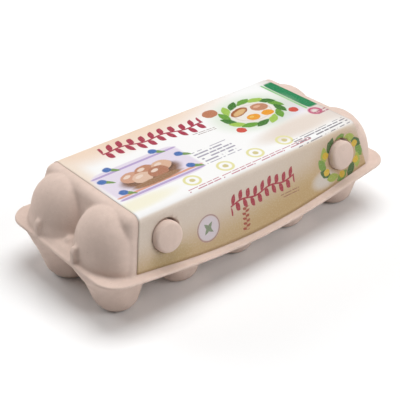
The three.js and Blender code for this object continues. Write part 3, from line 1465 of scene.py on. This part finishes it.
@dataclass(frozen=True)
class LineForm:
    """The form of small print's broken lines; strokes are shares of the pitch."""

    stroke_edge: Pair = (0.17, 0.25)
    word_scale: float = 2.2
    line_step: float = 7.31
    gap_scale: float = 1.6
    gap_edge: Pair = (0.36, 0.42)

    def group(self) -> Tree:
        """Builds the group that masks a block of thin broken lines.

        Returns:
            The group.
        """
        tree, g, entry, leave = new_group(
            "ruled lines", PLACE_INPUTS | {"Pitch": "NodeSocketFloat"}, MASK_OUTPUT
        )
        place = turned_place(g, entry)
        share = g.vector("ABSOLUTE", g.vector("DIVIDE", place, entry.outputs["Radius"]))
        row = g.math("DIVIDE", g.axis(place, "Y"), entry.outputs["Pitch"])
        level = g.math("FLOOR", row)
        within = g.math("ABSOLUTE", g.math("SUBTRACT", g.math("FRACT", row), 0.5))
        stroke = g.inverse(g.step(within, *self.stroke_edge))
        seed = g.node("ShaderNodeCombineXYZ", {
            0: g.math("MULTIPLY", g.axis(place, "X"), self.word_scale),
            1: g.math("MULTIPLY", level, self.line_step),
        })
        words = g.step(g.noise(seed.outputs[0], self.gap_scale, 0.0), *self.gap_edge)
        inside = g.math(
            "MULTIPLY", g.math("LESS_THAN", g.axis(share, "X"), 1.0),
            g.math("LESS_THAN", g.axis(share, "Y"), 1.0),
        )
        mask = g.math("MULTIPLY", g.math("MULTIPLY", stroke, words), inside)
        tree.links.new(mask, leave.inputs["Mask"])
        return tree


MM_PER_CM = 10
TOP_START = 37.2  # millimetres from the cups' middle forward to where the top begins
PANEL_TOP = 65  # height in millimetres where the panels begin
PANEL_SLANT = 0.102  # centimetres of panel for each millimetre of height
FRONT_START, BACK_START = -0.72, 8.64  # V of the panels' upper edges
TOP_WIDTH = 7.92  # V where the back edge's rounding begins


def on_top(x: float, y: float) -> Pair:
    """A place on the label's top, from millimetres to the flat sheet."""
    return x / MM_PER_CM, (y + TOP_START) / MM_PER_CM


def on_front(x: float, z: float) -> Pair:
    """A place on the label's front panel, from millimetres to the flat sheet."""
    return x / MM_PER_CM, FRONT_START - (PANEL_TOP - z) * PANEL_SLANT


def on_back(x: float, z: float) -> Pair:
    """A place on the label's back panel, from millimetres to the flat sheet."""
    return x / MM_PER_CM, BACK_START + (PANEL_TOP - z) * PANEL_SLANT


@dataclass(frozen=True)
class LabelPrint:
    """The label's print: fields of colour, a nest, a plate, wreaths, leaf rows and fine lines."""

    top_share: float = 0.77
    paper: Colour = (0.80, 0.795, 0.785, 1.0)
    panel_upper: Colour = tone("cfc0b2")
    panel_lower: Colour = tone("b79a6c")
    panel_edge: Pair = (0.28, 0.52)
    depth_edge: Pair = (0.9, 4.2)
    side_edge: Pair = (-3.0, 6.5)
    shade_shares: Pair = (0.8, 0.35)
    torn_scale: float = 3.2
    torn_reach: float = 0.14
    reach_margin: Pair = (0.3, 1.4)
    ink_scale: float = 9.0
    ink_edge: Pair = (0.4, 0.75)
    ink_share: float = 0.10
    ink_colour: Colour = (0.84, 0.83, 0.82, 1)
    roughness: float = 0.42
    roughness_swing: float = 0.16
    cockle_scale: float = 0.9
    tooth_scale: float = 60.0
    height_shares: Pair = (1.0, 0.06)
    relief: float = 0.35
    bump_depth: float = 0.6 * MM
    sheen: float = 0.35
    ring_places: tuple[float, ...] = (-39.2, -12.1, 13.4, 38.9)

    def top(
        self, code: str, x: float, y: float, radius: Pair, turn: float = 0.0,
        motif: Motif = Motif.OVAL, edge: Edge = Edge.CRISP, inner: float = -1.0,
    ) -> PrintedShape:
        """Places a shape on the top.

        Args:
            code: Its colour as a hex code.
            x: X of its centre, in millimetres.
            y: Y of its centre, in millimetres.
            radius: Its half-width and half-height, in centimetres.
            turn: How far it is turned.
            motif: Its outline.
            edge: How soft the outline is.
            inner: Where a ring's inner edge lies.

        Returns:
            The shape.
        """
        colour = tone(code, self.top_share)
        return PrintedShape(colour, on_top(x, y), radius, turn, motif, edge, inner)

    def top_fields(self) -> list[PrintedShape]:
        """Lists the soft fields of colour under the motifs of the top.

        Returns:
            The shapes.
        """
        fields = (
            ("fbe0c8", -45, 51, (8.6, 2.4)), ("fbe8d4", -98, 18, (1.5, 3.2)),
            ("fffae2", -80, -30, (2.6, 0.6)), ("ece4f2", 66, 2, (2.6, 1.3)),
            ("f0e2d6", 62, -22, (3.6, 1.0)), ("ece0d8", 94, 4, (1.3, 4.4)),
            ("f6f2fa", -62, -4, (2.6, 1.4)),
        )
        return [self.top(*field, edge=Edge.MISTY) for field in fields]

    def nest(self) -> list[PrintedShape]:
        """Lists a nest of eggs on a striped cloth among small flowers, at the left of the top.

        Returns:
            The shapes.
        """
        bar, soft = Motif.BAR, Edge.SOFT
        made = [self.top("eee3f2", -54, -5, (3.3, 1.85), 0, bar, soft)]
        for code, y in (("bfa9d6", 9.5), ("e6a58c", -18), ("bfa9d6", -21)):
            made.append(self.top(code, -54, y, (3.3, 0.1), 0, bar, soft))
        made += [
            self.top("8a6248", -54, -8, (2.2, 0.95), edge=soft),
            self.top("503830", -54, -5.5, (1.85, 0.6), edge=soft),
        ]
        eggs = (
            (-66, -3.0, "d9a488"), (-54, -1.5, "c68a6a"), (-42, -3.0, "e3b79a"),
            (-60, -7.5, "e8c4ac"), (-48, -7.5, "b97c5e"),
        )
        for x, y, code in eggs:
            made += [
                self.top(code, x, y, (0.74, 0.58), 0.2),
                self.top("f4dccb", x - 1.5, y + 2, (0.3, 0.16), 0.2, edge=soft),
            ]
        made.append(self.top("a47a58", -54, -15, (1.9, 0.3), edge=soft))
        for x, y in ((-83, 4), (-80, -14), (-25, 1), (-28, -15), (-72, 14), (-36, 14)):
            made += [
                self.top("7ca058", x + 3, y - 2.5, (0.5, 0.16), -0.7, Motif.LEAF),
                self.top("4a74b8", x, y, (0.3, 0.28), edge=soft),
            ]
        return made

    def plate(self) -> list[PrintedShape]:
        """Lists a plate of eggs and bread in a wreath, by a green band across the top.

        Returns:
            The shapes.
        """
        bar, soft = Motif.BAR, Edge.SOFT
        leaves = ("6ba432", "3f7c24", "a6cc52")
        return [
            self.top("128a52", 89, 15, (0.5, 2.3), 0, bar, soft),
            self.top("8fd08a", 82.5, 15, (0.1, 2.3), 0, bar, soft),
            self.top("dcebd2", 50, 12, (2.9, 2.1), edge=Edge.MISTY),
            *self.wreath(on_top(50, 12), (2.15, 1.6), 14, leaves, self.top_share),
            self.top("f6efe6", 50, 12, (1.75, 1.3)),
            self.top("dfd0c2", 50, 12, (1.5, 1.08), inner=0.9),
            self.top("a85e24", 43, 18, (0.85, 0.42), 0.3),
            self.top("e6bb80", 43, 17.4, (0.66, 0.26), 0.3, edge=soft),
            self.top("c98a66", 59, 15, (0.66, 0.52), -0.2),
            self.top("e9b694", 58, 16.5, (0.28, 0.16), edge=soft),
            self.top("f4a21a", 46, 6.5, (0.52, 0.4)),
            self.top("f8c860", 45, 7.5, (0.2, 0.12), edge=soft),
            self.top("f4a21a", 58, 5.5, (0.48, 0.36)),
            self.top("d8503e", 27, -2, (0.36, 0.34)),
            self.top("d8503e", 74, -3, (0.36, 0.34)),
            self.top("c47e5a", 26, 29, (0.62, 0.5), 0.3),
            self.top("cc3f74", 84, -14, (0.5, 0.5), edge=soft, inner=0.3),
        ]

    def wreath(
        self, centre: Pair, reach: Pair, count: int,
        codes: tuple[str, ...], share: float,
    ) -> list[PrintedShape]:
        """Lays leaves round an oval.

        Args:
            centre: Its middle on the flat sheet.
            reach: Its half-width and half-height.
            count: Number of leaves.
            codes: Their colours, used in turn.
            share: What the colours are multiplied by.

        Returns:
            The leaves.
        """
        leaf, lean = (0.26 * reach[0] + 0.12, 0.3), 0.45
        made = []
        for i, place in enumerate(self.around(centre, reach, count)):
            turn = 2 * math.pi * i / count + math.pi / 2 + lean
            colour = tone(codes[i % len(codes)], share)
            made.append(PrintedShape(colour, place, leaf, turn, Motif.LEAF))
        return made

    def around(
        self, centre: Pair, reach: Pair, count: int,
        start: float = 0,
    ) -> list[Pair]:
        """Finds places spread evenly round an oval.

        Args:
            centre: Its middle.
            reach: Its half-width and half-height.
            count: Number of places.
            start: The first one, in steps from the right.

        Returns:
            The places.
        """
        angles = [2 * math.pi * (i + start) / count for i in range(count)]
        return [
            (centre[0] + reach[0] * math.cos(a), centre[1] + reach[1] * math.sin(a))
            for a in angles
        ]

    def rim(self) -> list[PrintedShape]:
        """Lists four pale rings, each with a dot, along the front of the top.

        Returns:
            The shapes.
        """
        made = []
        for x in self.ring_places:
            made += [
                self.top("efe9a8", x, -30, (0.6, 0.6), inner=0.5),
                self.top("dccf92", x, -30, (0.2, 0.2), edge=Edge.SOFT),
            ]
        return made

    def front_picture(self) -> list[PrintedShape]:
        """Lists a wreath with yellow fruit round the right knob, a plain round seal, and a painted
        shadow under the left knob.

        Returns:
            The shapes.
        """
        oval, leaf = Motif.OVAL, Motif.LEAF
        soft, misty = Edge.SOFT, Edge.MISTY
        middle, seal = on_front(77, 49), on_front(-40.5, 43.6)
        made = [
            PrintedShape(tone("b89a78"), middle, (2.3, 1.75), 0, oval, misty, strength=0.8),
            PrintedShape(tone("c9bfb4"), on_front(60, 39), (1.0, 0.6), 0, oval, misty),
        ]
        made += self.wreath(middle, (1.75, 1.32), 12, ("6f8f3c", "44602e", "9aa648"), 1.0)
        for place in self.around(middle, (1.6, 1.2), 6, start=0.5):
            made.append(PrintedShape(tone("c8a52c"), place, (0.27, 0.25)))
        made += [
            PrintedShape(tone("cbbfc4"), seal, (0.84, 0.84), edge=soft),
            PrintedShape(tone("9a7470"), seal, (0.9, 0.9), inner=0.84),
            PrintedShape(tone("7f8a70"), seal, (0.5, 0.14), 0.8, leaf),
            PrintedShape(tone("7f8a70"), seal, (0.5, 0.14), 2.3, leaf),
            # painted shadow: a misty golden-brown patch that darkens the panel under the left knob
            PrintedShape(
                tone("a08a52"), on_front(-72, 36.5), (1.5, 0.8), 0, oval, misty, strength=0.4
            ),
        ]
        return made

    def rows(self) -> list[LeafRow]:
        """Lists the leaf rows that head the top, the front and the back.

        Returns:
            The rows.
        """
        return [
            LeafRow(tone("b0304a", self.top_share), on_top(-24, 27.5), (3.9, 0.82), 0.78, -0.13),
            LeafRow(tone("a0323e"), on_front(6.3, 51.6), (2.75, 0.66), 0.62, 0.02),
            LeafRow(tone("9c4e3a"), on_front(-9.7, 38.5), (0.8, 0.3), 0.34, 1.45),
            LeafRow(tone("a0323e"), on_back(0, 50), (3.0, 0.62), 0.62),
        ]

    def lines(self) -> list[RuledLines]:
        """Lists the fine lines in the places of small print.

        Returns:
            The blocks of lines.
        """
        s = self.top_share
        made = [
            RuledLines(tone("b0706e", s), on_top(-50.7, 41.3), (2.0, 0.06), 0.24, -0.015),
            RuledLines(tone("8d6c66", s), on_top(7, 12.4), (0.9, 0.13), 0.26, -0.08),
            RuledLines(tone("a9a4b4", s), on_top(-4.5, -12.7), (1.45, 0.85), 0.34),
            RuledLines(tone("c07084", s), on_top(88, -17), (0.75, 0.3), 0.3, 0.05),
            RuledLines(tone("8f8a90", s), on_top(66, -36.8), (2.45, 0.39), 0.26, 0.03),
            RuledLines(tone("8e5a48"), on_front(29, 41.5), (0.8, 0.13), 0.26),
            RuledLines(tone("7a5a54"), on_back(0, 38), (2.4, 0.6), 0.3),
        ]
        for x in self.ring_places:
            place = on_top(x + 3, -38.4)
            made.append(RuledLines(tone("cf8d98", s), place, (1.25, 0.16), 0.16, 0.01))
        return made

    def items(self) -> list[PrintedItem]:
        """All that is printed, from the lowest layer to the uppermost."""
        pictures = self.top_fields() + self.nest() + self.plate() + self.front_picture()
        return pictures + self.rim() + self.rows() + self.lines()

    def ground(self, g: Graph, sheet: Socket) -> Socket:
        """Shades the paper: white on top, and darker down the panels and to the right.

        Args:
            g: The material's graph.
            sheet: The place on the flat sheet.

        Returns:
            The colour.
        """
        across, along = g.axis(sheet, "X"), g.axis(sheet, "Y")
        down = g.math(
            "MAXIMUM", g.math("MULTIPLY", along, -1.0), g.math("SUBTRACT", along, TOP_WIDTH)
        )
        slopes = (g.step(down, *self.depth_edge), g.step(across, *self.side_edge))
        deep = g.step(g.blend(slopes, self.shade_shares), 0.0, 1.0)
        panel = g.mix(deep, self.panel_upper, self.panel_lower)
        return g.mix(g.step(down, *self.panel_edge), self.paper, panel)

    def material(
        self, zone: PrintZone, groups: dict[type, Tree]
    ) -> bpy.types.Material:
        """Builds the material of one zone.

        Args:
            zone: The zone.
            groups: The group that draws each kind of item.

        Returns:
            The material.
        """
        made = bpy.data.materials.new(f"label print {zone.name.lower()}")
        made.use_nodes = True
        g = Graph(made.node_tree)
        sheet = g.node("ShaderNodeUVMap", uv_map="print").outputs[0]
        colour = self.ground(g, sheet)
        wander = g.node(
            "ShaderNodeTexNoise", {"Vector": sheet, "Scale": self.torn_scale, "Detail": 3.0}
        )
        ragged = g.shift(sheet, wander, (self.torn_reach, self.torn_reach, 0.0))
        least, times = self.reach_margin
        drawn = [i for i in self.items() if zone.holds(i.centre, least + times * max(i.radius))]
        log.info("%s: %d printed items", made.name, len(drawn))
        for item in drawn:
            inputs = {"Place": ragged if item.torn else sheet} | item.inputs()
            mask = g.node("ShaderNodeGroup", inputs, node_tree=groups[type(item)]).outputs["Mask"]
            colour = g.mix(g.math("MULTIPLY", mask, item.strength), colour, item.colour)
        ink = g.noise(sheet, self.ink_scale, 4.0)
        worn = g.math("MULTIPLY", g.step(ink, *self.ink_edge), self.ink_share)
        colour = g.mix(worn, colour, self.ink_colour)
        rough = g.math("ADD", self.roughness, g.math("MULTIPLY", ink, self.roughness_swing))
        waves = (g.noise(sheet, self.cockle_scale), g.noise(sheet, self.tooth_scale))
        height = g.blend(waves, self.height_shares)
        g.dress(colour, rough, height, self.relief, self.bump_depth, self.sheen)
        return made


# ------------------------------------------------------------------ studio


@dataclass(frozen=True)
class FloorFinish:
    """A pale matte studio floor."""

    colour: Colour = (0.90, 0.90, 0.90, 1.0)
    roughness: float = 0.9
    sheen: float = 0.1

    def material(self) -> bpy.types.Material:
        """Builds the material.

        Returns:
            The material.
        """
        made = bpy.data.materials.new("studio floor")
        made.use_nodes = True
        shader = made.node_tree.nodes["Principled BSDF"]
        shader.inputs["Base Color"].default_value = self.colour
        shader.inputs["Roughness"].default_value = self.roughness
        shader.inputs["Specular IOR Level"].default_value = self.sheen
        return made


@dataclass(frozen=True)
class SoftLight:
    """A square soft light that looks at the carton."""

    name: str
    place: Triple
    size: float
    power: float
    aim: Triple = (0, 0, 0.03)

    def hang(self) -> None:
        """Hangs the light."""
        data = bpy.data.lights.new(self.name, "AREA")
        data.size = self.size
        data.energy = self.power
        light = bpy.data.objects.new(self.name, data)
        light.location = self.place
        direction = Vector(self.aim) - Vector(self.place)
        light.rotation_euler = direction.to_track_quat("-Z", "Y").to_euler()
        bpy.context.scene.collection.objects.link(light)


@dataclass
class Studio:
    """Camera, floor and lights."""

    camera_place: Triple = (-0.39655, -0.46075, 0.40935)
    camera_turn_deg: Triple = (57.59, 0, -40.34)
    lens: float = 95.66
    sensor: float = 36
    nearest: float = 0.05
    farthest: float = 50
    floor_size: float = 12
    sky: float = 0.1
    lights: tuple[SoftLight, ...] = (
        SoftLight("overhead", (0.25, 0.0, 1.7), 1.3, 27),
        SoftLight("back left", (-0.5, 1.25, 0.65), 0.9, 10),
        SoftLight("front right", (0.75, -1.2, 0.8), 0.9, 10),
    )

    def set_camera(self) -> None:
        """Places the camera at the viewing angle."""
        data = bpy.data.cameras.new("camera")
        data.lens = self.lens
        data.sensor_width = self.sensor
        data.clip_start = self.nearest
        data.clip_end = self.farthest
        camera = bpy.data.objects.new("camera", data)
        camera.location = self.camera_place
        camera.rotation_euler = [math.radians(a) for a in self.camera_turn_deg]
        bpy.context.scene.collection.objects.link(camera)
        bpy.context.scene.camera = camera

    def lay_floor(self) -> None:
        """Lays the pale floor."""
        bm = bmesh.new()
        bmesh.ops.create_grid(bm, x_segments=1, y_segments=1, size=self.floor_size / 2)
        floor = add_object("studio_floor", bm)
        floor.data.materials.append(FloorFinish().material())

    def set_world(self) -> None:
        """Lights the scene evenly from all round."""
        world = bpy.data.worlds.new("studio")
        world.use_nodes = True
        back = world.node_tree.nodes["Background"]
        back.inputs["Color"].default_value = (1, 1, 1, 1)
        back.inputs["Strength"].default_value = self.sky
        bpy.context.scene.world = world

    def build(self) -> None:
        """Sets up the whole studio."""
        self.set_camera()
        self.lay_floor()
        self.set_world()
        for light in self.lights:
            light.hang()
        bpy.context.scene.view_settings.view_transform = "Standard"


def main() -> None:
    """Builds the carton's looks round the frame."""
    logging.basicConfig(level=logging.INFO, format="%(message)s")
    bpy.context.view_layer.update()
    form = CartonForm()
    texture = PulpTexture().group()
    pulp = PulpFinish(
        "moulded pulp", texture, dark=(0.625, 0.488, 0.420, 1), light=(0.675, 0.530, 0.460, 1),
        fibre=(0.74, 0.62, 0.54, 1), speck=(0.40, 0.29, 0.23, 1),
    ).material()
    pressed = PulpFinish(
        "pressed pulp", texture, dark=(0.630, 0.492, 0.424, 1), light=(0.675, 0.530, 0.460, 1),
        fibre=(0.72, 0.60, 0.52, 1), speck=(0.44, 0.33, 0.26, 1), relief=0.22,
    ).material()
    groups = {
        PrintedShape: shape_group(), LeafRow: LeafForm().group(), RuledLines: LineForm().group(),
    }
    prints = {zone: LabelPrint().material(zone, groups) for zone in PrintZone}
    knobs = [LatchKnob(form, "latch_knob_left"), LatchKnob(form, "latch_knob_right")]
    Tray(form).build(pulp)
    Lid(form).build(pulp, knobs)
    Label(form).build(prints, knobs)
    for knob in knobs:
        knob.build(pressed)
    Studio().build()


if __name__ == "__main__":
    main()
